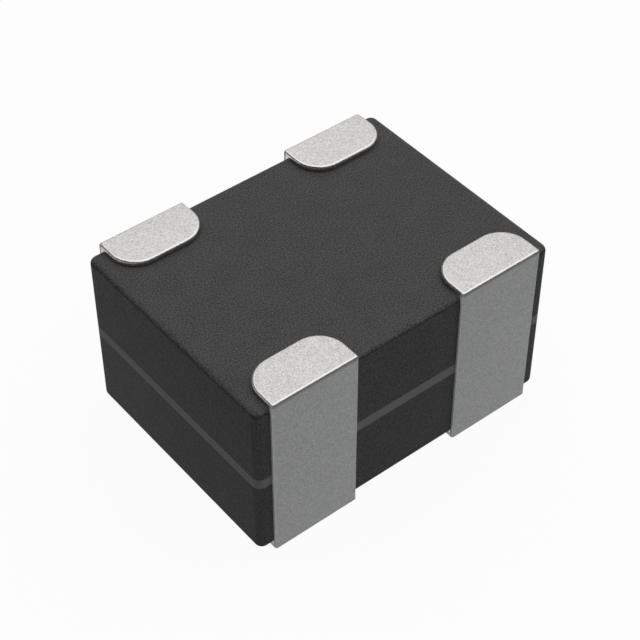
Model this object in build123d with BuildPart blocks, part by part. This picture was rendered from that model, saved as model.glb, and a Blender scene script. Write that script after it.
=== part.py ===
from build123d import *
import os

# Surface-mount common mode choke, film type.
# Two ferrite plates hold a thin film stack with two flat spiral coils in it,
# and four C-shaped terminals clasp the long sides. All sizes are in millimetres.
# The origin is the centre of the bare upper face, with +Z up and +X along the length,
# so the solder faces lie below it and the terminals' upper tabs rise a little above it.

os.makedirs("parts", exist_ok=True)

# Body: two ferrite plates with the film stack between them
body_length = 0.850
body_depth = 0.635
upper_plate = 0.210
lower_plate = 0.212
corner_radius = 0.020
edge_radius = 0.016

# Terminals: a side plate with a D-shaped tab above and a like foot below
terminal_width = 0.236
terminal_inset = 0.039
plate_thickness = 0.008
tab_thickness = 0.0165
foot_thickness = 0.015
tab_reach = 0.1125
tab_corner = 0.072
metal_edge = 0.004

# Conductors, and the film that covers each one
lead_thickness = 0.0025
coil_thickness = 0.004
base_film = 0.004
lower_lead_cover = 0.0025
lower_coil_cover = 0.002
upper_coil_cover = 0.002
upper_lead_cover = 0.0015
adhesive_layer = 0.003

# Coils: spirals of a flat track, with a lug at the side face and a pad at the inner end
coil_end_margin = 0.055
coil_side_margin = 0.0675
coil_turns = 4
track_width = 0.012
track_gap = 0.008
track_corner = 0.030
via_radius = 0.010
pad_rim = 0.008
lug_width = 0.060
lug_depth = 0.030

# Window through the films, which the magnetic post fills
window_clearance = 0.022
window_corner = 0.030

# Height of each layer's underside
adhesive_floor = -upper_plate - adhesive_layer
cover_floor = adhesive_floor - upper_lead_cover - lead_thickness
upper_coil_floor = cover_floor - upper_coil_cover - coil_thickness
lower_coil_floor = upper_coil_floor - lower_coil_cover - coil_thickness
lead_floor = lower_coil_floor - lower_lead_cover - lead_thickness
base_floor = lead_floor - base_film
body_floor = base_floor - lower_plate

# The side faces, and the terminals' centre line along them
side_y = body_depth / 2
terminal_x = (body_length - terminal_width) / 2 - terminal_inset

# The turns' centre lines, half the size of the outermost and the innermost
track_pitch = track_width + track_gap
outer_x = (body_length - track_width) / 2 - coil_end_margin
outer_y = side_y - track_width / 2 - coil_side_margin
inner_x = outer_x - (coil_turns - 1) * track_pitch
inner_y = outer_y - (coil_turns - 1) * track_pitch

# A pad's rim lies flush with the outer rim of the innermost turn
pad_radius = via_radius + pad_rim
pad_inset = pad_radius - track_width / 2
pad_x = inner_x - pad_inset
pad_y = inner_y - pad_inset
window_length = 2 * (pad_x - pad_radius - window_clearance)
window_depth = 2 * (pad_y - pad_radius - window_clearance)


def write(piece, name):
    """Label a finished piece and write it to its own file."""
    piece.part.label = name
    export_step(piece.part, f"parts/{name}.step")


def rounded_body():
    """The whole body's outer form, with its corners and rims rounded."""
    with BuildPart() as body:
        with BuildSketch(Plane.XY.offset(body_floor)):
            RectangleRounded(body_length, body_depth, corner_radius)
        extrude(amount=-body_floor)
        levels = body.edges().group_by(Axis.Z)
        fillet(levels[0] + levels[-1], edge_radius)
    return body


def plate(body, height, keep):
    """The ferrite above or below a height of the body."""
    with BuildPart() as ferrite:
        add(body.part)
        split(bisect_by=Plane.XY.offset(height), keep=keep)
    return ferrite


def film(floor, ceiling, held=()):
    """A film with the window cut out, flowed round the conductors that it holds."""
    with BuildPart() as layer:
        with BuildSketch(Plane.XY.offset(floor)):
            RectangleRounded(body_length, body_depth, corner_radius)
            RectangleRounded(window_length, window_depth, window_corner, mode=Mode.SUBTRACT)
        extrude(amount=ceiling - floor)
        for conductor in held:
            add(conductor.part, mode=Mode.SUBTRACT)
    return layer


def spiral(start_x):
    """The corners of a spiral, inwards and anticlockwise from a point on the front side."""
    corners = [(start_x, -side_y), (start_x, -outer_y)]
    for turn in range(coil_turns):
        x = outer_x - turn * track_pitch
        y = outer_y - turn * track_pitch
        if turn > 0:
            corners.append((-x - track_pitch, -y))
        corners += [(x, -y), (x, y), (-x, y)]
    return corners


def coil(floor, start_x, corners, pad):
    """A spiral track with its lug and its pad, lying on the film below."""
    with BuildPart() as winding:
        with BuildSketch(Plane.XY.offset(floor)):
            with BuildLine():
                FilletPolyline(*corners, radius=track_corner)
            trace(line_width=track_width)
            with Locations((start_x, lug_depth / 2 - side_y)):
                Rectangle(lug_width, lug_depth)
            with Locations(pad):
                Circle(pad_radius)
        extrude(amount=coil_thickness)
    return winding


def lead(floor, end_x, pad):
    """A strip that widens from a coil's pad to the lug at the rear side face."""
    with BuildPart() as strip:
        with BuildSketch(Plane.XY.offset(floor)):
            with Locations(pad):
                Circle(pad_radius)
            with Locations((end_x, side_y - lug_depth / 2)):
                Rectangle(lug_width, lug_depth)
            make_hull()
        extrude(amount=lead_thickness)
    return strip


def add_via(conductor, floor, pad, depth):
    """The conductor's plug, down through the film's hole to the pad below."""
    with BuildPart() as plugged:
        add(conductor.part)
        with BuildSketch(Plane.XY.offset(floor - depth)):
            with Locations(pad):
                Circle(via_radius)
        extrude(amount=depth)
    return plugged


def terminal(body, x, inward):
    """A C-shaped terminal, bent round the body's edges; inward is +1 on the front side."""
    seat = Plane((x, -inward * side_y, body_floor - foot_thickness), x_dir=(inward, 0, 0))
    height = foot_thickness - body_floor + tab_thickness
    with BuildPart() as clasp:
        with BuildSketch(seat) as outline:
            with Locations((0, (tab_reach - plate_thickness) / 2)):
                Rectangle(terminal_width, tab_reach + plate_thickness)
            fillet(outline.vertices().group_by(Axis.Y)[-1], tab_corner)
        extrude(amount=height)
        levels = clasp.edges().group_by(Axis.Z)
        fillet(levels[0] + levels[-1], metal_edge)
        add(body.part, mode=Mode.SUBTRACT)
    return clasp


# Ferrite plates
whole_body = rounded_body()
write(plate(whole_body, -upper_plate, Keep.TOP), "upper_ferrite")
write(plate(whole_body, base_floor, Keep.BOTTOM), "lower_ferrite")

# Lower winding: from the front left terminal to the rear left one
lower_pad = (-pad_x, pad_y)
lower_route = spiral(-terminal_x)
lower_route[-1] = (-pad_x, inner_y)
lower_lead = lead(lead_floor, -terminal_x, lower_pad)
lower_coil = coil(lower_coil_floor, -terminal_x, lower_route, lower_pad)
lower_coil = add_via(lower_coil, lower_coil_floor, lower_pad, lower_lead_cover)
write(lower_lead, "lower_lead")
write(lower_coil, "lower_coil")

# Upper winding: from the front right terminal to the rear right one
upper_pad = (pad_x, pad_y)
upper_route = spiral(terminal_x)[:-2]
upper_route.append((inner_x, pad_y))
upper_coil = coil(upper_coil_floor, terminal_x, upper_route, upper_pad)
upper_lead = lead(cover_floor, terminal_x, upper_pad)
upper_lead = add_via(upper_lead, cover_floor, upper_pad, upper_coil_cover)
write(upper_coil, "upper_coil")
write(upper_lead, "upper_lead")

# Films
write(film(base_floor, lead_floor), "base_film")
write(film(lead_floor, lower_coil_floor, [lower_lead, lower_coil]), "lead_film")
write(film(lower_coil_floor, upper_coil_floor, [lower_coil]), "middle_film")
write(film(upper_coil_floor, cover_floor, [upper_coil, upper_lead]), "coil_film")
write(film(cover_floor, adhesive_floor, [upper_lead]), "cover_film")

# Magnetic post in the window of the films
with BuildPart() as core_post:
    with BuildSketch(Plane.XY.offset(base_floor)):
        RectangleRounded(window_length, window_depth, window_corner)
    extrude(amount=adhesive_floor - base_floor)
write(core_post, "core_post")

# Adhesive under the upper plate
with BuildPart() as adhesive:
    with BuildSketch(Plane.XY.offset(adhesive_floor)):
        RectangleRounded(body_length, body_depth, corner_radius)
    extrude(amount=adhesive_layer)
write(adhesive, "adhesive_layer")

# Terminals
for side, inward in (("front", 1), ("rear", -1)):
    for hand, x in (("left", -terminal_x), ("right", terminal_x)):
        write(terminal(whole_body, x, inward), f"terminal_{side}_{hand}")
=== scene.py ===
# %% [markdown]
# A common mode choke that is less than a millimetre long: a dark ferrite chip with a grey line of
# films round its waist, and four tin terminals that clasp its long sides. The solids come from the
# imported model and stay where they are. Here they get their finish, finer edges where the eye looks
# closely, a camera and soft light.

# %% Load the frame
import math

import bmesh
import bpy
from mathutils import Matrix, Vector


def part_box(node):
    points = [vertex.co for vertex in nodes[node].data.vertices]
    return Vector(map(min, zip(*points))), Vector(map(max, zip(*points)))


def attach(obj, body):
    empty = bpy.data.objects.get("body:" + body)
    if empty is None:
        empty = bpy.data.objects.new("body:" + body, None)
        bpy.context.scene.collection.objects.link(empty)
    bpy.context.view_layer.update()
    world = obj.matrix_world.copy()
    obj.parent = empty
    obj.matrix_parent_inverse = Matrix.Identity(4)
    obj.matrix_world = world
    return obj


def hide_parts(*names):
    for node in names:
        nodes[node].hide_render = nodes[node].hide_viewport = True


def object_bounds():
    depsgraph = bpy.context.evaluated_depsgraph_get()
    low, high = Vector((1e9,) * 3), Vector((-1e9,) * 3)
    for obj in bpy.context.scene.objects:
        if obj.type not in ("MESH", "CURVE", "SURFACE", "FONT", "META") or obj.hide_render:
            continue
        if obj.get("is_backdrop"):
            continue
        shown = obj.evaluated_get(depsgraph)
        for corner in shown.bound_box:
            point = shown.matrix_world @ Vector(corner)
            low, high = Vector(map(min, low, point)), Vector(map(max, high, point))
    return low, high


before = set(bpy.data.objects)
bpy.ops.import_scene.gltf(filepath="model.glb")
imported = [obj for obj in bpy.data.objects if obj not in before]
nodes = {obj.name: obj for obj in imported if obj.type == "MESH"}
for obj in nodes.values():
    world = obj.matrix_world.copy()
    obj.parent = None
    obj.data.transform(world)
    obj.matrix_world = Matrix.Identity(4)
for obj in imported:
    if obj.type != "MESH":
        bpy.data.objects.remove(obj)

cad_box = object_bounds()
print("solids in the frame:", len(nodes))

# %% [markdown]
# Everything on this chip is measured in thousandths of a millimetre. Modelled in metres, its edges
# would be numbers such as 0.000004, which are hard to read and close to the limits of some mesh
# tools. So new shapes are modelled in micrometres, and only a finished mesh is scaled to metres.

# %% Micrometres
MICRON = 1e-6


def extent(node):
    """Lowest and highest corner of a solid, in micrometres."""
    low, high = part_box(node)
    return low / MICRON, high / MICRON


body_low = extent("lower_ferrite")[0]
body_high = extent("upper_ferrite")[1]
body_size = body_high - body_low
body_centre = (body_low + body_high) / 2
metal_low, metal_high = extent("terminal_front_left")
print("body, in micrometres:", [round(side, 1) for side in body_size])

# %% [markdown]
# The camera comes first, because every later choice is judged through it. It stands to the left of
# the chip's long side and looks down at about 45 degrees, far enough away to keep the perspective
# gentle. The lens follows from the width of the picture, and from how many pixels away from the
# eye that picture would have to be held. Distances are given in lengths of the chip.

# %% Camera
PICTURE_WIDTH = 640
EYE_TO_PICTURE = 1740.3
SENSOR_WIDTH = 36.0
AZIMUTH = math.radians(38.80)
ELEVATION = math.radians(44.62)
LENGTHS_AWAY = 4.8707
AIM_RIGHT = 0.0030
AIM_UP = 0.0043
NEAREST_SEEN = 1e-5
FARTHEST_SEEN = 1.0

level = math.cos(ELEVATION)
right = Vector((math.cos(AZIMUTH), -math.sin(AZIMUTH), 0))
back = Vector((-math.sin(AZIMUTH) * level, -math.cos(AZIMUTH) * level, math.sin(ELEVATION)))
up = back.cross(right)
body_length = body_size.x * MICRON
stand_off = (back * LENGTHS_AWAY + right * AIM_RIGHT + up * AIM_UP) * body_length

lens = bpy.data.cameras.new("picture_camera")
lens.sensor_width = SENSOR_WIDTH
lens.lens = SENSOR_WIDTH * EYE_TO_PICTURE / PICTURE_WIDTH
lens.clip_start = NEAREST_SEEN
lens.clip_end = FARTHEST_SEEN
camera = bpy.data.objects.new("picture_camera", lens)
camera.location = body_centre * MICRON + stand_off
camera.rotation_mode = "QUATERNION"
camera.rotation_quaternion = Matrix((right, up, back)).transposed().to_quaternion()
bpy.context.scene.collection.objects.link(camera)
bpy.context.scene.camera = camera
print("lens", round(lens.lens, 1), "mm, seen from", round(stand_off.length * 1000, 2), "mm")

# %% [markdown]
# A finish is a small network of nodes, and most of it is arithmetic: a speckle times a strength,
# plus a base. Wired by hand, the sum is hard to see. This class wraps one output socket, so that an
# expression such as 0.5 + 0.2 * grain adds its Math nodes by itself. Any other node comes from its
# node method, which takes the node's settings first and then the values or links of its sockets.
# Colours are blended by a Mix node, because a Math node would turn them grey. In the finishes below
# each number before a pattern is its strength, found by comparing renders with the real chip.

# %% Shader arithmetic
# A Mix node lists its sockets for numbers, vectors and colours together. These are its colour ones.
MIX_AMOUNT = 0
MIX_FIRST_COLOUR = 6
MIX_SECOND_COLOUR = 7
MIX_COLOUR_OUT = 2


class Signal:
    """One output socket in a tree of shader nodes."""

    def __init__(self, tree, socket=None):
        self.tree = tree
        self.socket = socket

    def node(self, kind, settings=(), inputs=(), output=0):
        """Add a node of a kind, and give back one of its outputs."""
        made = self.tree.nodes.new("ShaderNode" + kind)
        for name, value in dict(settings).items():
            setattr(made, name, value)
        for name, value in dict(inputs).items():
            if isinstance(value, Signal):
                self.tree.links.new(value.socket, made.inputs[name])
            else:
                made.inputs[name].default_value = value
        return Signal(self.tree, made.outputs[output] if made.outputs else None)

    def maths(self, operation, *values):
        return self.node("Math", {"operation": operation}, enumerate(values))

    def __add__(self, other):
        return self.maths("ADD", self, other)

    def __radd__(self, other):
        return self.maths("ADD", other, self)

    def __sub__(self, other):
        return self.maths("SUBTRACT", self, other)

    def __rsub__(self, other):
        return self.maths("SUBTRACT", other, self)

    def __mul__(self, other):
        return self.maths("MULTIPLY", self, other)

    def __rmul__(self, other):
        return self.maths("MULTIPLY", other, self)

    def __abs__(self):
        return self.maths("ABSOLUTE", self)

    def larger(self, other):
        """The larger of two values."""
        return self.maths("MAXIMUM", self, other)

    def ramp(self, low, high):
        """0 under the first value, 1 over the second, and a smooth climb from one to the other."""
        settings = {"interpolation_type": "SMOOTHSTEP"}
        return self.node("MapRange", settings, {"Value": self, "From Min": low, "From Max": high})


def blend_colours(amount, first, second):
    """The first colour where the amount is 0, and the second where it is 1."""
    inputs = {MIX_AMOUNT: amount, MIX_FIRST_COLOUR: first, MIX_SECOND_COLOUR: second}
    return amount.node("Mix", {"data_type": "RGBA"}, inputs, MIX_COLOUR_OUT)


def empty_tree(owner):
    """Give a material or the world a tree with no nodes in it."""
    owner.use_nodes = True
    owner.node_tree.nodes.clear()
    return Signal(owner.node_tree)


# %% [markdown]
# Each finish reads Object coordinates, so that a pattern sits in the piece and not on the picture.
# A Mapping node turns metres into micrometres, and the scale of each texture below can be read as
# how many times it repeats in a micrometre. A speckle of 3 micrometres has a scale of about 0.3.
# Some finishes also read a value that a new piece carries at each of its points.

# %% Starting a finish
def new_finish(name):
    """An empty material, with its place on the piece in micrometres."""
    material = bpy.data.materials.new(name)
    metres = empty_tree(material).node("TexCoord", output="Object")
    place = metres.node("Mapping", (), {"Vector": metres, "Scale": [1 / MICRON] * 3})
    return material, place


def stored(place, name):
    """A value that the piece carries under a name."""
    return place.node("Attribute", {"attribute_name": name}, output="Fac")


def speckle(place, repeats, detail=2.0, roughness=0.5):
    """Soft random speckle, from about -0.2 to 0.2."""
    inputs = {"Vector": place, "Scale": repeats, "Detail": detail, "Roughness": roughness}
    return place.node("TexNoise", (), inputs) - 0.5


def cells(place, repeats):
    """Distance from the middle of the nearest of many grains, from 0 to about 1."""
    return place.node("TexVoronoi", (), {"Vector": place, "Scale": repeats})


def bumps(height, micrometres):
    """Normals that lean as if the surface rose by so many micrometres where the height is 1."""
    return height.node("Bump", (), {"Height": height, "Distance": micrometres * MICRON})


def complete(material, place, **sockets):
    """Send the finished values to one Principled shader and out."""
    inputs = {name.replace("_", " "): value for name, value in sockets.items()}
    surface = place.node("BsdfPrincipled", (), inputs)
    place.node("OutputMaterial", (), {"Surface": surface})
    print(material.name, "has", len(material.node_tree.nodes), "nodes")
    return material


# %% [markdown]
# Ferrite is a black-brown ceramic, pressed from powder, fired and then tumbled. Close up it is
# matt, with grains of a few micrometres and a rare pore where a grain has fallen out. Three
# patterns are added up: fine grain, coarse clouding and pores. A painted highlight lies on the
# upward lip of an edge, painted light on the upright corners and painted shade in the lee under the
# lip. The pieces carry their roundness and steepness, which tell where an edge is and how it faces.

# %% Ferrite
FERRITE_DARK = (0.033, 0.033, 0.033, 1)
FERRITE_PALE = (0.120, 0.120, 0.120, 1)
MATT_GLINT = 0.08
PORE_EDGE = (0.20, 0.26)
# Where the painted highlight, painted shade and painted light lie, by roundness and steepness
LIP_ROUNDNESS = (0.02, 0.40)
LEE_ROUNDNESS = (0.00, 0.30)
CORNER_ROUNDNESS = (0.02, 0.60)
BELOW_LIP = (0.15, 0.40)
IN_LEE = (0.30, 0.60)
UPRIGHT = (0.85, 0.94)


def ferrite_finish():
    material, place = new_finish("fired_ferrite")
    grain = speckle(place, 0.30, detail=3.0, roughness=0.6)
    cloud = speckle(place, 0.012)
    pores = speckle(place, 0.11, detail=1.0).ramp(*PORE_EDGE)
    roundness = stored(place, "edge_roundness")
    steep = stored(place, "steepness")
    upright = steep.ramp(*UPRIGHT)
    # Painted highlight on the lip, painted shade in the lee, painted light on upright corners
    lip = roundness.ramp(*LIP_ROUNDNESS) * (1 - steep.ramp(*BELOW_LIP))
    lee = roundness.ramp(*LEE_ROUNDNESS) * (steep.ramp(*IN_LEE) - upright)
    corner = roundness.ramp(*CORNER_ROUNDNESS) * upright
    shade = 0.5 + 3.7 * grain + 0.3 * cloud - 0.4 * pores
    shade = shade + 0.12 * lip - 0.40 * lee + 0.20 * corner
    return complete(
        material,
        place,
        Base_Color=blend_colours(shade, FERRITE_DARK, FERRITE_PALE),
        Roughness=0.65 - 0.08 * lip + 0.3 * grain,
        Specular_IOR_Level=MATT_GLINT,
        Normal=bumps(grain - pores, 0.25),
    )


ferrite = ferrite_finish()

# %% [markdown]
# The line round the waist is the cut edge of five films and a layer of adhesive. They are a filled
# resin, greyer and smoother than the ferrite, and the cut drags them into faint streaks along the
# line. Stretching the coordinates before the noise gives such streaks: here the pattern repeats
# far more often in height than along the line.

# %% Films and adhesive
FILM_DARK = (0.169, 0.169, 0.170, 1)
FILM_PALE = (0.282, 0.282, 0.284, 1)
ADHESIVE_DARK = (0.165, 0.165, 0.166, 1)
ADHESIVE_PALE = (0.275, 0.275, 0.277, 1)
STREAK_REPEATS = (0.03, 0.03, 0.35)


def film_finish(name, dark, pale):
    material, place = new_finish(name)
    stretched = place.node("Mapping", (), {"Vector": place, "Scale": STREAK_REPEATS})
    streak = speckle(stretched, 1.0)
    grain = speckle(place, 0.25)
    return complete(
        material,
        place,
        Base_Color=blend_colours(0.5 + 0.9 * grain + 0.6 * streak, dark, pale),
        Roughness=0.65 + 0.3 * grain,
        Specular_IOR_Level=MATT_GLINT,
        Normal=bumps(grain + streak, 0.15),
    )


films = film_finish("grey_film", FILM_DARK, FILM_PALE)
adhesive = film_finish("grey_adhesive", ADHESIVE_DARK, ADHESIVE_PALE)

# %% [markdown]
# Inside, hidden by the plates, are the coils, their leads and the post. They never show unless
# someone opens the model, and then they should look like what they are: plated copper with fine
# nodules, and a resin full of magnetic powder with pale grains in a dark binder.

# %% Copper and filled resin
COPPER_DARK = (0.52, 0.20, 0.11, 1)
COPPER_PALE = (0.86, 0.43, 0.27, 1)
BINDER = (0.018, 0.017, 0.016, 1)
POWDER = (0.11, 0.105, 0.10, 1)
POWDER_EDGE = (0.25, 0.50)


def copper_finish():
    material, place = new_finish("plated_copper")
    nodules = cells(place, 0.5)
    tarnish = speckle(place, 0.04, detail=3.0)
    shade = 0.5 + 1.2 * tarnish - 0.3 * (nodules - 0.5)
    return complete(
        material,
        place,
        Base_Color=blend_colours(shade, COPPER_DARK, COPPER_PALE),
        Metallic=1.0,
        Roughness=0.34 + 0.3 * tarnish,
        Normal=bumps(1 - nodules, 0.15),
    )


def filled_resin_finish():
    material, place = new_finish("magnetic_resin")
    grains = 1 - cells(place, 0.16).ramp(*POWDER_EDGE)
    return complete(
        material,
        place,
        Base_Color=blend_colours(grains, BINDER, POWDER),
        Roughness=0.7 - 0.25 * grains,
        Normal=bumps(grains, 0.4),
    )


copper = copper_finish()
resin = filled_resin_finish()

# %% [markdown]
# The terminals are plated with matt tin, which doesn't look the same all over. Each terminal is one
# piece with one material, so the place of a point has to say what the tin is like there. A mask is
# 1 on a side face: on the side plates, which are both far out across the chip and between the
# heights of the bends, and on the low walls of the feet. A second one is 1 on the flanks of the
# side plates, a few micrometres wide, made matt and painted pale as painted light. The others mark
# the rims, painted bright as a painted highlight, and a band of painted shade along the upper bend.

# %% Where the tin changes
# How far a mask starts and ends from a face of the terminal or of the chip, in micrometres
BEND_START = 1.5
BEND_END = 4.0
PAINTED_SHADE_START = 7.0
PAINTED_SHADE_END = 15.0
FOOT_FADE = 2.0
FLANK_START = 1.8
FLANK_END = 3.0
RIM_ROUNDNESS = (0.02, 0.30)
SIDE_RIM_HIGHLIGHT = 0.03
PAINTED_SHADE_ON_BEND = 0.18
PAINTED_SHADE_ON_SIDE = 0.45


def tin_masks(place):
    """Masks for the side faces, the flanks, the painted highlight on rims and the painted shade."""
    height = place.node("SeparateXYZ", (), {"Vector": place}, output="Z")
    far_out = abs(place.node("SeparateXYZ", (), {"Vector": place}, output="Y"))
    tabs = height.ramp(metal_high.z - BEND_END, metal_high.z - BEND_START)
    feet = 1 - height.ramp(metal_low.z + BEND_START, metal_low.z + BEND_END)
    outer = far_out.ramp(body_high.y - BEND_END, body_high.y)
    plate = outer * (1 - tabs - feet)
    foot_wall = (1 - feet) * (1 - height.ramp(body_low.z, body_low.z + FOOT_FADE))
    side_face = plate.larger(foot_wall)
    # The flanks are made matt and painted pale, as painted light
    flank = plate * (1 - far_out.ramp(-metal_low.y - FLANK_END, -metal_low.y - FLANK_START))
    # Rims get a painted highlight, and are a little smoother
    rims = stored(place, "edge_roundness").ramp(*RIM_ROUNDNESS)
    polish_and_highlight = rims * (tabs + feet + SIDE_RIM_HIGHLIGHT * side_face)
    # A band of painted shade along the upper bend, darker far out on the side plates
    high_up = height.ramp(metal_high.z - PAINTED_SHADE_END, metal_high.z - PAINTED_SHADE_START)
    painted_shade = (1 - tabs) * high_up * (PAINTED_SHADE_ON_BEND + (PAINTED_SHADE_ON_SIDE - PAINTED_SHADE_ON_BEND) * outer)
    return side_face, flank, polish_and_highlight, painted_shade


# %% [markdown]
# On the tabs and feet the tin is pale, a little warm and covered in crystals of a few micrometres
# that catch the light one by one. The side faces are smoother, cooler and painted much darker, as
# painted shade. So the same speckle gets two pairs of colours, and the masks blend from one to the
# other and lay the rims' painted highlight, matt flanks' painted light and painted shade over them.

# %% Tin
TAB_DARK = (0.415, 0.406, 0.394, 1)
TAB_PALE = (0.81, 0.795, 0.777, 1)
# The same tin on the side faces, painted darker as painted shade
SHADED_SIDE_DARK = (0.165, 0.167, 0.168, 1)
SHADED_SIDE_PALE = (0.288, 0.291, 0.292, 1)
# Painted highlight on the rims
RIM_HIGHLIGHT = (0.86, 0.845, 0.83, 1)
# Painted light on the flanks
PAINTED_FLANK_LIGHT = (0.88, 0.87, 0.86, 1)
# Painted shade along the upper bend
PAINTED_SHADE = (0.06, 0.06, 0.06, 1)


def tin_finish():
    material, place = new_finish("matt_tin")
    side_face, flank, polish_and_highlight, painted_shade = tin_masks(place)
    crystals = speckle(place, 0.33, roughness=0.6)
    mottle = speckle(place, 0.035)
    sparkle = speckle(place, 0.22, detail=1.0)
    shade = 0.5 + 2.2 * crystals + 0.15 * mottle
    pale = blend_colours(shade, TAB_DARK, TAB_PALE)
    # The side faces' darker grey is painted shade
    grey = blend_colours(shade, SHADED_SIDE_DARK, SHADED_SIDE_PALE)
    plated = blend_colours(side_face, pale, grey)
    # Painted highlight on the rims, then painted light on the flanks
    plated = blend_colours(polish_and_highlight, plated, RIM_HIGHLIGHT)
    plated = blend_colours(flank, plated, PAINTED_FLANK_LIGHT)
    # Last, painted shade along the upper bend
    return complete(
        material,
        place,
        Base_Color=blend_colours(painted_shade, plated, PAINTED_SHADE),
        Metallic=1 - flank,
        Roughness=0.34 + 0.3 * sparkle + 0.12 * side_face - 0.06 * polish_and_highlight,
        Normal=bumps(crystals + 0.5 * sparkle, 0.3),
    )


tin = tin_finish()

# %% [markdown]
# New shapes are made sharp first, and then a bevel rounds some of their edges. In the editor those
# would be picked by hand. A script finds them by where they lie, such as all edges at one height.

# %% Rounding edges
X, Y, Z = range(3)
SAME_PLACE = 0.01
ROUND_STEPS = 8


def near(value, wanted):
    return abs(value - wanted) < SAME_PLACE


def level_along(edge, axis):
    """Whether both ends of an edge have the same place on an axis."""
    start, end = edge.verts
    return near(start.co[axis], end.co[axis])


def edges_where(shape, test):
    """The edges whose two ends both pass a test of their place."""
    return [edge for edge in shape.edges if all(test(end.co) for end in edge.verts)]


def edges_at(shape, axis, wanted):
    """The edges that lie at one place on an axis."""
    return edges_where(shape, lambda place: near(place[axis], wanted))


def rounded(shape, edges, radius, steps=ROUND_STEPS):
    """Round some edges of a shape."""
    bmesh.ops.bevel(
        shape,
        geom=edges,
        offset=radius,
        offset_type="OFFSET",
        segments=steps,
        profile=0.5,
        affect="EDGES",
        material=-1,
    )


# %% [markdown]
# The finishes have to know where a piece is rounded. Its normals tell: on a flat face they point
# straight along an axis, and round an edge they lean, most of all halfway between two faces. So
# each point stores how far its normal leans, and also how steep the surface is there.

# %% Edge roundness
MOST_LEAN = 1 - math.sqrt(0.5)


def mark_roundness(shape):
    """Store how far each point of a shape leans away from the flat faces, and how steep it is."""
    roundness = shape.verts.layers.float.new("edge_roundness")
    steepness = shape.verts.layers.float.new("steepness")
    shape.normal_update()
    for vertex in shape.verts:
        straight = max(abs(part) for part in vertex.normal)
        vertex[roundness] = min(1.0, (1 - straight) / MOST_LEAN)
        vertex[steepness] = 1 - abs(vertex.normal.z)


# %% [markdown]
# A new piece ends the same way each time: its doubled points are merged, its faces are turned
# outwards, it is scaled to metres, and it is named, given its finish, put on the body that carries
# it and set in place of its plain solid. Its flat faces should look flat and its rims round, and a
# Weighted Normal modifier does that: large faces win where they meet a small rim. An edge that
# turns sharply, such as the rim of a cut, is marked sharp, so that nothing is smoothed across it.

# %% From shape to piece
SAME_POINT = 0.001
SHARP_TURN = math.radians(40)
LARGE_FACES_WIN = 100


def finish_piece(shape, name, node, material):
    """Turn a shape in micrometres into a piece that stands for a solid."""
    bmesh.ops.remove_doubles(shape, verts=shape.verts, dist=SAME_POINT)
    bmesh.ops.recalc_face_normals(shape, faces=shape.faces)
    bmesh.ops.scale(shape, vec=[MICRON] * 3, verts=shape.verts)
    for face in shape.faces:
        face.smooth = True
    for edge in shape.edges:
        edge.smooth = edge.calc_face_angle(0.0) < SHARP_TURN
    mesh = bpy.data.meshes.new(name)
    shape.to_mesh(mesh)
    shape.free()
    mesh.materials.append(material)
    piece = bpy.data.objects.new(name, mesh)
    bpy.context.scene.collection.objects.link(piece)
    even = piece.modifiers.new("even_faces", "WEIGHTED_NORMAL")
    even.weight = LARGE_FACES_WIN
    even.keep_sharp = True
    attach(piece, "root")
    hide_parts(node)
    print(name, "has", len(mesh.polygons), "faces")


# %% [markdown]
# The two ferrite plates were cut from stacked sheets, so their outer form is one rounded block with
# a slice missing. A block is rounded first at its four upright corners and then along its upper and
# lower rims, and a plane cuts away all but one plate. The order matters: with the corners already
# round, the rim bevel runs round them in one smooth band. The roundness is stored before the cut,
# which would otherwise tilt the normals along it.

# %% Ferrite plates
CORNER_RADIUS = 20.0
EDGE_RADIUS = 16.0


def rounded_block():
    shape = bmesh.new()
    bmesh.ops.create_cube(shape, size=1.0)
    bmesh.ops.scale(shape, vec=body_size, verts=shape.verts)
    bmesh.ops.translate(shape, vec=body_centre, verts=shape.verts)
    uprights = [edge for edge in shape.edges if level_along(edge, X) and level_along(edge, Y)]
    rounded(shape, uprights, CORNER_RADIUS)
    rims = edges_at(shape, Z, body_high.z) + edges_at(shape, Z, body_low.z)
    rounded(shape, rims, EDGE_RADIUS)
    return shape


def cut_plate(shape, height, keep_above):
    """Keep the part of a shape on one side of a level cut, and close it."""
    cut = bmesh.ops.bisect_plane(
        shape,
        geom=shape.verts[:] + shape.edges[:] + shape.faces[:],
        plane_co=(0, 0, height),
        plane_no=(0, 0, 1),
        clear_inner=keep_above,
        clear_outer=not keep_above,
    )
    rim = [item for item in cut["geom_cut"] if isinstance(item, bmesh.types.BMEdge)]
    bmesh.ops.holes_fill(shape, edges=rim, sides=0)


for level_name, keep_above in (("upper", True), ("lower", False)):
    node = level_name + "_ferrite"
    low, high = extent(node)
    block = rounded_block()
    mark_roundness(block)
    cut_plate(block, low.z if keep_above else high.z, keep_above)
    finish_piece(block, node + "_plate", node, ferrite)

# %% [markdown]
# A terminal is a C seen from its end: a thin side plate with a tab folded over the chip and a foot
# folded under it. It could be built of three boxes, but then each bend would be a seam. So it
# starts as one face in the shape of a C, with eight points, which is extruded along the chip.

# %% The C of a terminal
def c_section(low, high, outer, inner, side):
    """A face in the shape of a C, standing across the chip at one end of the terminal."""
    shape = bmesh.new()
    outline = [
        (inner, high.z), (outer, high.z), (outer, low.z), (inner, low.z),
        (inner, body_low.z), (side, body_low.z), (side, body_high.z), (inner, body_high.z),
    ]
    shape.faces.new([shape.verts.new((low.x, y, z)) for y, z in outline])
    return shape


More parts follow.
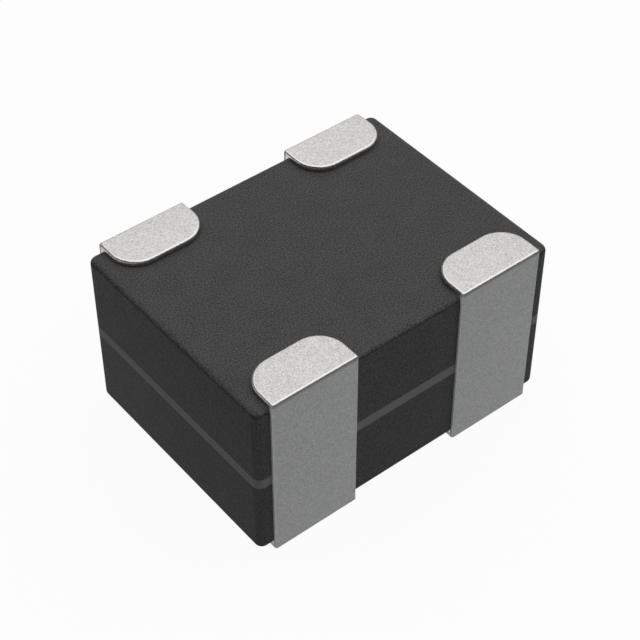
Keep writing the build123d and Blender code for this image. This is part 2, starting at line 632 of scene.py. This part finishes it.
def clasp(low, high, outer, inner, side):
    """The C drawn out along the chip, with its edges still sharp."""
    shape = c_section(low, high, outer, inner, side)
    pulled = bmesh.ops.extrude_face_region(shape, geom=shape.faces[:])["geom"]
    far_end = [item for item in pulled if isinstance(item, bmesh.types.BMVert)]
    bmesh.ops.translate(shape, vec=(high.x - low.x, 0, 0), verts=far_end)
    bmesh.ops.recalc_face_normals(shape, faces=shape.faces)
    return shape


# %% [markdown]
# Then the C's edges are rounded in order: the ends of the tabs in plan, which makes them D-shaped,
# the inside of the two bends, which follow the ferrite's rounded edge, the outer rims, the upright
# corners, and last the tabs' lower edges, which leave the thin dark gap that plating leaves over
# the ferrite. The rims are rounder than the upright corners, so they come first. They then meet in
# a mitre, and the mitre and the upright edge below it are rounded together. In the other order the
# rim would have to fit inside the smaller corner, and the mesh would fold there. Where roundings
# meet, the bevel puts a point or two a hair outside the flat face, and those are pushed back.

# %% Terminals
TAB_CORNER = 72.0
TAB_CORNER_STEPS = 20
CLASP_CORNER = 5.0
TAB_RIM = 7.0
FOOT_RIM = 3.5
UNDERCUT = 5.0
SMALL_STEPS = 6


def terminal_shape(node):
    low, high = extent(node)
    at_front = low.y < 0
    inward = 1 if at_front else -1
    outer, inner = (low.y, high.y) if at_front else (high.y, low.y)
    side = body_low.y if at_front else body_high.y
    shape = clasp(low, high, outer, inner, side)

    corners = [edge for edge in edges_at(shape, Y, inner) if level_along(edge, X)]
    rounded(shape, corners, TAB_CORNER, TAB_CORNER_STEPS)
    bends = [edge for edge in edges_at(shape, Y, side) if level_along(edge, Z)]
    rounded(shape, bends, EDGE_RADIUS)
    rounded(shape, edges_at(shape, Z, high.z), TAB_RIM, SMALL_STEPS)
    rounded(shape, edges_at(shape, Z, low.z), FOOT_RIM, SMALL_STEPS)
    for end in (low.x, high.x):
        mitre = edges_where(shape, lambda place: near(abs(place.x - end), abs(place.y - outer)))
        rounded(shape, mitre, CLASP_CORNER, SMALL_STEPS)
    bend_end = side + EDGE_RADIUS * inward
    beneath = edges_at(shape, Z, body_high.z) + edges_at(shape, Z, body_low.z)
    beneath = [edge for edge in beneath if not all(near(end.co.y, bend_end) for end in edge.verts)]
    rounded(shape, beneath, UNDERCUT, SMALL_STEPS)

    for vertex in shape.verts:
        vertex.co.y = min(max(vertex.co.y, low.y), high.y)
    mark_roundness(shape)
    return shape


for corner_name in ("front_left", "front_right", "rear_left", "rear_right"):
    node = "terminal_" + corner_name
    finish_piece(terminal_shape(node), "tin_" + node, node, tin)

# %% [markdown]
# The films, the adhesive, the coils, the leads and the post have the right shape already, with the
# coils' own pockets in the films. They keep their solids, and only the material in their slot is
# changed for a detailed one.

# %% Finishes of the pieces inside
kept = {
    films: ["base_film", "lead_film", "middle_film", "coil_film", "cover_film"],
    adhesive: ["adhesive_layer"],
    copper: ["lower_lead", "lower_coil", "upper_coil", "upper_lead"],
    resin: ["core_post"],
}
for material, names in kept.items():
    for name in names:
        nodes[name].material_slots[0].material = material
    print(material.name, "is on", ", ".join(names))

# %% [markdown]
# The chip stands in a white studio. Really white all round, it would light the chip from below and
# wash out its dark sides. A Light Path node helps: it tells the rays apart, so that the studio can
# be white to those that come from the camera and duller to those that light the chip.

# %% Kinds of rays
def light_path(start, ray):
    """1 for the rays of one kind, and else 0."""
    return start.node("LightPath", output="Is " + ray + " Ray")


def seen_directly(start):
    """1 for rays that come straight from the camera, or through something clear, and else 0."""
    return light_path(start, "Camera").larger(light_path(start, "Transmission"))


# %% [markdown]
# The floor is a wide disc. Rays that come straight from the camera, or are mirrored in the metal,
# see it glow white, and all others meet grey paper. The chip's shadow stays, because a small part
# of what the camera sees is still the lit floor. From below the floor is clear and hides nothing.

# %% Floor
FLOOR_RADIUS = 60000.0
FLOOR_SIDES = 96
FLOOR_GAP = 0.5
GLOW = 0.94
WHITE = (1, 1, 1, 1)
WHITE_PAPER = (0.96, 0.96, 0.96, 1)
GREY_PAPER = (0.25, 0.25, 0.25, 1)


def lay_floor():
    shape = bmesh.new()
    bmesh.ops.create_circle(shape, cap_ends=True, segments=FLOOR_SIDES, radius=FLOOR_RADIUS)
    bmesh.ops.translate(shape, vec=(0, 0, metal_low.z - FLOOR_GAP), verts=shape.verts)
    bmesh.ops.scale(shape, vec=[MICRON] * 3, verts=shape.verts)
    mesh = bpy.data.meshes.new("floor")
    shape.to_mesh(mesh)
    shape.free()
    floor = bpy.data.objects.new("floor", mesh)
    bpy.context.scene.collection.objects.link(floor)
    floor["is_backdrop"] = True
    return floor


def floor_finish():
    material = bpy.data.materials.new("pale_floor")
    start = empty_tree(material)
    white = seen_directly(start).larger(light_path(start, "Glossy"))
    matt = start.node("BsdfDiffuse", (), {"Color": blend_colours(white, GREY_PAPER, WHITE_PAPER)})
    glow = start.node("Emission", (), {"Color": WHITE, "Strength": 1.0})
    lit = start.node("MixShader", (), {0: GLOW * white, 1: matt, 2: glow})
    under = start.node("NewGeometry", output="Backfacing")
    clear = start.node("BsdfTransparent")
    surface = start.node("MixShader", (), {0: under, 1: lit, 2: clear})
    start.node("OutputMaterial", (), {"Surface": surface})
    return material


floor = lay_floor()
floor.data.materials.append(floor_finish())
print("floor laid", FLOOR_GAP, "micrometres under the feet")

# %% [markdown]
# The light is a plain studio: one wide soft box above the chip, leaning to the right and a little
# behind it, in a dim room. The flat tabs mirror the far part of the box, the rims round them mirror
# its near part, and the side plates mirror the floor. Two smaller boxes were tried first, and the
# rims came out dark, because what they mirror lay between the two. An area light is given by its
# power, which is worked out here from how bright the box's face should look.

# %% Lights
BOX_TOWARD = Vector((0.28, 0.08, 1))
BOX_DISTANCE = 12000.0
BOX_WIDTH = 34000.0
BOX_DEPTH = 32000.0
BOX_BRIGHTNESS = 1.06


def soft_box(name, toward, distance, width, depth, brightness):
    """An area light that faces the chip; at brightness 1 its face looks white."""
    light = bpy.data.lights.new(name, "AREA")
    light.shape = "RECTANGLE"
    light.size = width * MICRON
    light.size_y = depth * MICRON
    light.energy = brightness * math.pi * light.size * light.size_y
    lamp = bpy.data.objects.new(name, light)
    lamp.location = (body_centre + toward.normalized() * distance) * MICRON
    lamp.rotation_mode = "QUATERNION"
    lamp.rotation_quaternion = toward.to_track_quat("Z", "Y")
    bpy.context.scene.collection.objects.link(lamp)
    print(name, "gives", round(light.energy * 1000, 2), "milliwatts")


soft_box("wide_box", BOX_TOWARD, BOX_DISTANCE, BOX_WIDTH, BOX_DEPTH, BOX_BRIGHTNESS)

# %% [markdown]
# The room itself is the world. The camera sees plain white all round. Other rays see a backdrop
# near the horizon, under a dark ceiling: a pale one that lights the chip's sides, or a white one
# where the metal mirrors it. The rims of the tabs mirror the ceiling as a thin dark line under
# their bright edge, which makes them crisp.

# %% World
BACKDROP = 0.55
BACKDROP_TOP = 0.12
CEILING = 0.03


def build_world():
    world = bpy.data.worlds.new("studio")
    start = empty_tree(world)
    direction = start.node("TexCoord", output="Generated")
    height = start.node("SeparateXYZ", (), {"Vector": direction}, output="Z")
    low_down = 1 - height.ramp(0.0, BACKDROP_TOP)
    backdrop = light_path(start, "Glossy").larger(BACKDROP)
    strength = CEILING + (backdrop - CEILING) * low_down
    strength = strength.larger(seen_directly(start))
    light = start.node("Background", (), {"Color": WHITE, "Strength": strength})
    start.node("OutputWorld", (), {"Surface": light})
    return world


bpy.context.scene.world = build_world()
bpy.context.scene.view_settings.view_transform = "Standard"
print("backdrop", BACKDROP, "up to", BACKDROP_TOP, "and ceiling", CEILING, "of white")

# %% [markdown]
# Last, the dressed model is measured beside the plain one. A new piece that stuck out of the packed
# model's box would no longer be the same part.

# %% Measure and finish
visual_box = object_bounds()
outside = max(max(cad_box[0] - visual_box[0]), max(visual_box[1] - cad_box[1])) / MICRON
print("largest step outside the box, in micrometres:", round(outside, 3))
